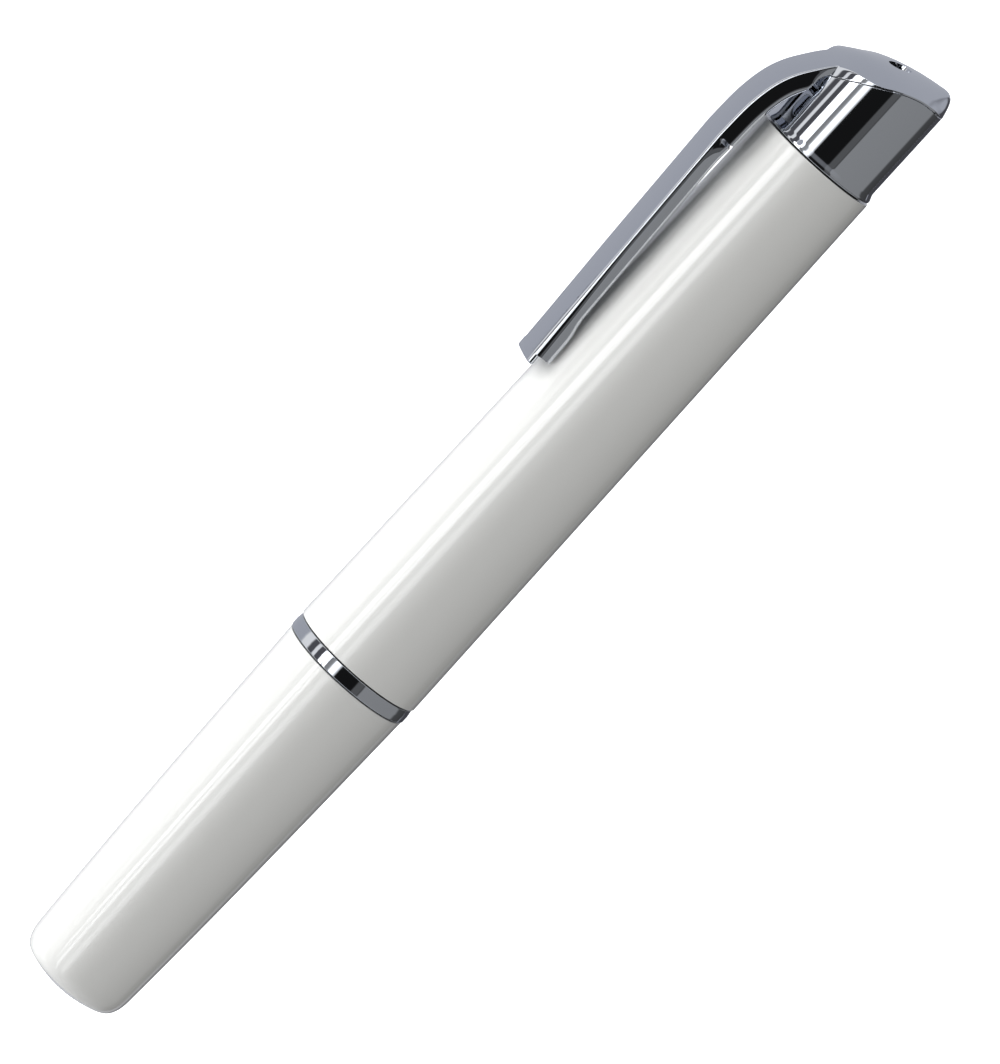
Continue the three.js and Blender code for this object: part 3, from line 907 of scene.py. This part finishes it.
# %% [markdown]
# A section is drawn across every stop: over the crowned face, round the edge,
# down the wall, round its lower edge, and back along the inside of the channel.
# Joining the sections gives one closed skin.

# %% Section across the strip
EDGE = 0.3
HOOD_EDGE = 0.09
FULL_PILLOW = 0.3
FAR_EDGE, FAR_EDGE_FROM = 0.6, -4.6
TIP_EDGE, TIP_EDGE_FROM = 0.45, 98.0
WALL = 0.62
BULGE = 0.04


def wall_side(stop, edge, low):
    half, top, bottom = stop.half, edge, stop.depth - low
    share = min(max((stop.channel - 0.2) / 0.5, 0.0), 1.0)
    side = []
    for i in range(7):
        t = i / 6
        bulge = BULGE * share * 4 * t * (1 - t) * (1 - stop.lean / ARCH_LEAN)
        lean = stop.lean * (bottom - top) * t - stop.pinch * smooth(t)
        side.append((half + bulge + lean, top + (bottom - top) * t))
    return side


def section(stop):
    half, depth = stop.half, stop.depth
    top_edge = EDGE - (EDGE - HOOD_EDGE) * min(stop.pillow / FULL_PILLOW, 1.0)
    top_edge += FAR_EDGE * smooth((FAR_EDGE_FROM - stop.point.x) / 1.2)
    top_edge += TIP_EDGE * smooth((TIP_EDGE_FROM - stop.point.y) / (TIP_EDGE_FROM - CLIP_TIP))
    edge = min(top_edge, half * 0.5, (depth - stop.pillow) * 0.5 + 0.25 * stop.pillow)
    low = min(0.1 + 0.6 * stop.channel, half * 0.25, depth * 0.34)
    wall = wall_side(stop, edge, low)
    foot = wall[-1][0]
    inner = max(foot - max(WALL, low + 0.05), half * 0.4)
    roof = min(depth - (depth - SHEET) * stop.channel, depth - 0.02)
    side = [(half * t, 0.0) for t in (0.1, 0.22, 0.34, 0.46, 0.58, 0.7, 0.8)]
    side.append((half - edge * 1.4, 0.0))
    for i in range(6):
        turn = math.pi / 2 * i / 5
        side.append((half - edge + edge * math.sin(turn), edge - edge * math.cos(turn)))
    side += wall[1:]
    for i in range(1, 6):
        turn = math.pi / 2 * i / 5
        side.append((foot - low + low * math.cos(turn), depth - low + low * math.sin(turn)))
    side += [(inner, depth - 0.02), (inner - 0.02, roof + 0.06), (inner - 0.08, roof), (inner * 0.5, roof)]
    loop = [(0.0, 0.0), *side, (0.0, roof)]
    loop += [(-q, n) for q, n in reversed(side)]
    points = []
    for q, n in loop:
        rest = 1 - n / depth
        drop = crown_drop(q) + stop.pillow * rest * min(abs(q) / half, 1.0) ** 2
        place = stop.point + stop.inward * (n + drop)
        points.append((place.x, q, place.y))
    return points


# %% Build hood and clip
stops = head_stops() + arch_stops() + arm_stops()
strip_mesh = grid_mesh([section(stop) for stop in stops], "strip", close_ends=True)
strip_mesh.materials.append(chrome)
print("the strip has", len(stops), "stops and", len(strip_mesh.polygons), "faces")


# %% [markdown]
# A small hole is pierced through the hood on the pen's axis. A Boolean modifier
# cuts it with a thin cylinder. The mesh round it is fine enough to keep the
# reflections smooth.


# %% Pierce the hood
def cut_with(mesh, cutter):
    body = bpy.data.objects.new("body", mesh)
    tool = bpy.data.objects.new("tool", outward(cutter))
    for thing in (body, tool):
        bpy.context.scene.collection.objects.link(thing)
    boolean = body.modifiers.new("cut", "BOOLEAN")
    boolean.object = tool
    boolean.operation = "DIFFERENCE"
    boolean.solver = "EXACT"
    made = bpy.data.meshes.new_from_object(body.evaluated_get(bpy.context.evaluated_depsgraph_get()))
    bpy.data.objects.remove(body)
    bpy.data.objects.remove(tool)
    return made


HOLE_RADIUS = 1.2
DRILL_FROM, DRILL_TO = 124.0, 132.0
DRILL_SIDES = 48
drill_path = [Vector((0, DRILL_FROM)), Vector((HOLE_RADIUS, DRILL_FROM)),
              Vector((HOLE_RADIUS, DRILL_TO)), Vector((0, DRILL_TO))]
drill = run_tree("drill", outline_mesh(drill_path), LATHE, Sides=DRILL_SIDES)
strip_mesh = cut_with(outward(strip_mesh), drill)
clip_and_hood = settle("clip_and_hood", strip_mesh, 35)
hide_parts("hood", "clip_arm")
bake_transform(clip_and_hood)
print("clip_and_hood has", len(strip_mesh.polygons), "faces")

# %% [markdown]
# ## The charging end
# Under the cap a black bush closes the barrel, with a seal in its groove and the
# charging socket in a slot.


# %% Rear bush
def slot_outline(width, height, rounding, steps=6):
    points = []
    for k, (x, y) in enumerate(((1, 1), (-1, 1), (-1, -1), (1, -1))):
        for i in range(steps + 1):
            turn = math.pi / 2 * (k + i / steps)
            points.append((x * (height / 2 - rounding) + rounding * math.cos(turn),
                           y * (width / 2 - rounding) + rounding * math.sin(turn)))
    return points


SOCKET_WIDTH, SOCKET_HEIGHT = 7.4, 2.6
SLOT_ROOM = 0.5
BUSH_RADIUS, PLUG_RADIUS = 5.85, 5.5
bush_from, bush_to = span("rear_bush")
BUSH_STEP = 115.5


def bush_mesh():
    groove_from, groove_to = cap_seal_station - GROOVE_HALF, cap_seal_station + GROOVE_HALF
    outline = [(bush_from, 0, 0), (bush_from, BUSH_RADIUS, 0.1), (BUSH_STEP, BUSH_RADIUS, 0.08),
               (BUSH_STEP, PLUG_RADIUS, 0.04), (groove_from, PLUG_RADIUS, 0.06),
               (groove_from, GROOVE_RADIUS, 0.05), (groove_to, GROOVE_RADIUS, 0.05),
               (groove_to, PLUG_RADIUS, 0.06), (bush_to, PLUG_RADIUS, 0.3), (bush_to, 0, 0)]
    return outward(run_tree("bush", outline_mesh(rounded(outline, 4, loop=False)), LATHE,
                            Sides=128, Material=black_plastic))


def prism(outline, low, high):
    return grid_mesh([[(x, y, z) for x, y in outline] for z in (low, high)], "prism", close_ends=True)


slot_edge = slot_outline(SOCKET_WIDTH + SLOT_ROOM, SOCKET_HEIGHT + SLOT_ROOM, 1.1)
slot = prism(slot_edge, bush_from - 1, bush_to + 1)
charging_bush = settle("charging_bush", cut_with(bush_mesh(), slot), 35)
place_piece(charging_bush, "handle", "black_plastic", "rear_bush")

# %% [markdown]
# The socket is a folded metal shell round a black tongue. Five contacts repeat
# along the tongue, so a second tree copies one contact in a straight row.

# %% Charging socket
socket_from, socket_to = span("charge_socket")


def socket_mesh():
    shell = [(0.0, socket_to - 0.05), (0.0, socket_from), (0.3, socket_from + 0.3), (0.3, socket_to - 0.05),
             (0.22, socket_to), (0.08, socket_to)]
    rings = []
    for inset, station in shell + shell[:1]:
        ring = slot_outline(SOCKET_WIDTH - 2 * inset, SOCKET_HEIGHT - 2 * inset, 0.9 - inset)
        rings.append([(x, y, station) for x, y in ring])
    return grid_mesh(rings, "socket")


socket_shell = socket_mesh()
socket_shell.materials.append(steel)
metal_socket = settle("metal_socket", socket_shell, 30)
place_piece(metal_socket, "handle", "steel", "charge_socket")

tongue_from, tongue_to = span("socket_tongue")
tongue = rounded_block(0.5, 4.8, tongue_to - tongue_from, 0.1)
tongue.transform(Matrix.Translation((0, 0, (tongue_from + tongue_to) / 2)))
tongue.materials.append(black_plastic)
black_tongue = settle("black_tongue", tongue)
place_piece(black_tongue, "handle", "black_plastic", "socket_tongue")


# %% The tree for copies in a row
def make_row_copies():
    tree, given, out = new_tree("row_copies", {"Count": "Int", "Pitch": "Float", "Material": "Material"})
    index = add_node(tree, "GeometryNodeInputIndex").outputs[0]
    points = add_node(tree, "GeometryNodePoints", {"Count": given["Count"]})
    last = math_node(tree, "SUBTRACT", given["Count"], 1.0)
    centred = math_node(tree, "SUBTRACT", index, math_node(tree, "DIVIDE", last, 2.0))
    aside = math_node(tree, "MULTIPLY", centred, given["Pitch"])
    place = add_node(tree, "ShaderNodeCombineXYZ", {"Y": aside})
    spread = add_node(tree, "GeometryNodeSetPosition",
                      {"Geometry": points.outputs[0], "Position": place.outputs[0]})
    copies = add_node(tree, "GeometryNodeInstanceOnPoints",
                      {"Points": spread.outputs[0], "Instance": given["Geometry"]})
    return finish_tree(tree, copies.outputs[0], given["Material"], out)


ROW_COPIES = make_row_copies()

# %% Socket contacts
contact = rounded_block(0.08, 0.35, 4.6, 0.03)
contact.transform(Matrix.Translation((0.27, 0, (tongue_from + tongue_to) / 2 + 0.3)))
contacts = run_tree("contacts", contact, ROW_COPIES, Count=5, Pitch=0.85, Material=gold)
socket_contacts = settle("socket_contacts", contacts)
place_piece(socket_contacts, "handle", "gold_contact")

# %% [markdown]
# ## Floor and light
# The pen lies on a plain pale floor. To the eye and to the lacquer it glows like
# clean paper. A mirror would show mostly white then, so sharp reflections see a
# painted reflection instead: the floor glows soft grey near the pen, with painted
# bright and dark bands along its front. Past the pen's ends it is plain grey.

# %% Floor
floor_material = new_material("floor_paper", (0.85, 0.85, 0.85), 0.9)
floor_tree = floor_material.node_tree
floor_shader = floor_tree.nodes["Principled BSDF"]
floor_shader.inputs["Specular IOR Level"].default_value = 0.0
floor_shader.inputs["Emission Color"].default_value = (1, 1, 1, 1)
FLOOR_GLOW = 0.5
# Glow levels that only glossy rays see. They are painted reflections of the floor: a grey near the pen, dark
# and bright bands and a glare in front, and shade behind.
DARK, REFLECTED_GREY, BRIGHT = (0.1, 0.1, 0.11), (0.47, 0.485, 0.535), (1.0, 1.0, 1.0)
GLARE, SHADE = (4.0, 4.0, 4.0), (0.07, 0.07, 0.08)
MIRRORED_FLOOR = [(-0.075, GLARE), (-0.058, DARK), (-0.032, DARK), (-0.030, BRIGHT), (-0.024, BRIGHT),
                  (-0.0225, DARK), (-0.0165, DARK), (-0.0150, BRIGHT), (-0.0104, BRIGHT),
                  (-0.0098, REFLECTED_GREY), (0.030, REFLECTED_GREY), (0.036, SHADE)]
RAMP_REACH = 0.08
BANDS_END, BANDS_FADE = 0.095, 0.015


def fill_ramp(ramp, stops):
    for _ in stops[1:-1]:
        ramp.elements.new(0.5)
    for element, (place, color) in zip(ramp.elements, stops):
        element.position = place
        element.color = (*color, 1)


ray = add_node(floor_tree, "ShaderNodeLightPath")
glow = add_node(floor_tree, "ShaderNodeMath", {0: ray.outputs["Is Camera Ray"], 1: 1.0, 2: FLOOR_GLOW},
                operation="MULTIPLY_ADD")
floor_tree.links.new(glow.outputs[0], floor_shader.inputs["Emission Strength"])
floor_place = add_node(floor_tree, "ShaderNodeTexCoord")
floor_parts = add_node(floor_tree, "ShaderNodeSeparateXYZ", {0: floor_place.outputs["Object"]})
floor_share = add_node(floor_tree, "ShaderNodeMapRange", {
    "Value": floor_parts.outputs["Y"], "From Min": -RAMP_REACH, "From Max": RAMP_REACH})
floor_bands = add_node(floor_tree, "ShaderNodeValToRGB", {0: floor_share.outputs[0]})
fill_ramp(floor_bands.color_ramp,
          [((y + RAMP_REACH) / (2 * RAMP_REACH), color) for y, color in MIRRORED_FLOOR])
along = add_node(floor_tree, "ShaderNodeMath", {0: floor_parts.outputs["X"]}, operation="ABSOLUTE")
past_ends = add_node(floor_tree, "ShaderNodeMapRange", {
    "Value": along.outputs[0], "From Min": BANDS_END - BANDS_FADE, "From Max": BANDS_END})
banded_floor = add_node(floor_tree, "ShaderNodeMix", {"Factor": past_ends.outputs[0]}, data_type="RGBA")
floor_tree.links.new(floor_bands.outputs[0], banded_floor.inputs[6])
banded_floor.inputs[7].default_value = (*REFLECTED_GREY, 1)
# Painted reflection: glossy rays see this banded glow instead of the lit floor.
mirrored = add_node(floor_tree, "ShaderNodeEmission", {"Color": banded_floor.outputs[2]})
floor_mix = add_node(floor_tree, "ShaderNodeMixShader", {
    0: ray.outputs["Is Glossy Ray"], 1: floor_shader.outputs[0], 2: mirrored.outputs[0]})
floor_tree.links.new(floor_mix.outputs[0], floor_tree.nodes["Material Output"].inputs["Surface"])

FLOOR_HALF = 3.0
floor_mesh = bpy.data.meshes.new("floor")
floor_mesh.from_pydata([(-FLOOR_HALF, -FLOOR_HALF, 0), (FLOOR_HALF, -FLOOR_HALF, 0),
                        (FLOOR_HALF, FLOOR_HALF, 0), (-FLOOR_HALF, FLOOR_HALF, 0)], [], [(0, 1, 2, 3)])
floor_mesh.materials.append(floor_material)
floor = bpy.data.objects.new("floor", floor_mesh)
bpy.context.scene.collection.objects.link(floor)

# %% [markdown]
# Chrome shows only what is round it. So the world is a studio of long bands that
# run along the pen: a grey ceiling, a bright strip low in front, and a dark gap
# between them where the viewer stands. Its ends are plain grey walls. The
# lacquer is lit by an even sky instead, and the eye sees a plain white wall.

# %% World
BANDS = [(0, 0.06), (22, 0.08), (28, 0.30), (104, 0.32), (106, 0.06), (107.5, 0.12), (117, 0.12), (119, 0.01),
         (152, 0.01), (157, 2.0), (164, 2.4), (167, 0.4), (174, 0.25), (176.3, 4.0), (180, 4.0)]
BAND_TINT = (0.97, 0.985, 1.0)
SKY_LIGHT = 0.4
END_WALL = (0.48, 0.495, 0.53, 1)
END_WALL_FROM, END_WALL_FULL = 0.5, 0.75
world = bpy.data.worlds.new("studio")
bpy.context.scene.world = world
world.use_nodes = True
sky = world.node_tree
sky.nodes.clear()
direction = add_node(sky, "ShaderNodeTexCoord")
parts = add_node(sky, "ShaderNodeSeparateXYZ", {0: direction.outputs["Generated"]})
angle = add_node(sky, "ShaderNodeMath", {0: parts.outputs["Z"], 1: parts.outputs["Y"]}, operation="ARCTAN2")
share = add_node(sky, "ShaderNodeMath", {0: angle.outputs[0], 1: math.pi}, operation="DIVIDE")
bands = add_node(sky, "ShaderNodeValToRGB", {0: share.outputs[0]})
fill_ramp(bands.color_ramp, [
    (degrees / 180, tuple(level * part for part in BAND_TINT)) for degrees, level in BANDS])
endways = add_node(sky, "ShaderNodeMath", {0: parts.outputs["X"]}, operation="ABSOLUTE")
end_share = add_node(sky, "ShaderNodeMapRange", {
    "Value": endways.outputs[0], "From Min": END_WALL_FROM, "From Max": END_WALL_FULL})
walls = add_node(sky, "ShaderNodeMix", {"Factor": end_share.outputs[0]}, data_type="RGBA")
sky.links.new(bands.outputs[0], walls.inputs[6])
walls.inputs[7].default_value = END_WALL
seen = add_node(sky, "ShaderNodeLightPath")
banded = add_node(sky, "ShaderNodeBackground", {"Color": walls.outputs[2], "Strength": 1.0})
even = add_node(sky, "ShaderNodeBackground", {"Color": (1.0, 0.99, 0.97, 1), "Strength": SKY_LIGHT})
plain = add_node(sky, "ShaderNodeBackground", {"Color": (1.0, 1.0, 1.0, 1), "Strength": 1.0})
lit = add_node(sky, "ShaderNodeMixShader", {
    0: seen.outputs["Is Diffuse Ray"], 1: banded.outputs[0], 2: even.outputs[0]})
mixed = add_node(sky, "ShaderNodeMixShader", {
    0: seen.outputs["Is Camera Ray"], 1: lit.outputs[0], 2: plain.outputs[0]})
add_node(sky, "ShaderNodeOutputWorld", {0: mixed.outputs[0]})
print(len(BANDS), "bands in the studio")


# %% [markdown]
# Two area lamps light the lacquer: a weak broad one in front, and a thin strip
# on the floor, which stands for the light that white paper throws up. Neither
# is seen in reflections, so they shape the white without marking the chrome.


# %% Lamps
def soft_lamp(name, place, towards, size, power):
    lamp = bpy.data.lights.new(name, "AREA")
    lamp.shape = "RECTANGLE"
    lamp.size, lamp.size_y = size
    lamp.energy = power
    thing = bpy.data.objects.new(name, lamp)
    bpy.context.scene.collection.objects.link(thing)
    thing.location = place
    thing.rotation_euler = Vector(towards).to_track_quat("-Z", "Y").to_euler()
    thing.visible_glossy = False
    thing.visible_camera = False
    return thing


soft_lamp("front_key", (-0.05, -0.7, 0.12), (0.05, 0.7, -0.12), (0.9, 0.25), 0.45)
soft_lamp("floor_strip", (0, -0.017, 0.0006), (0, 0, 1), (0.3, 0.018), 0.031)

bpy.context.scene.view_settings.view_transform = "Standard"
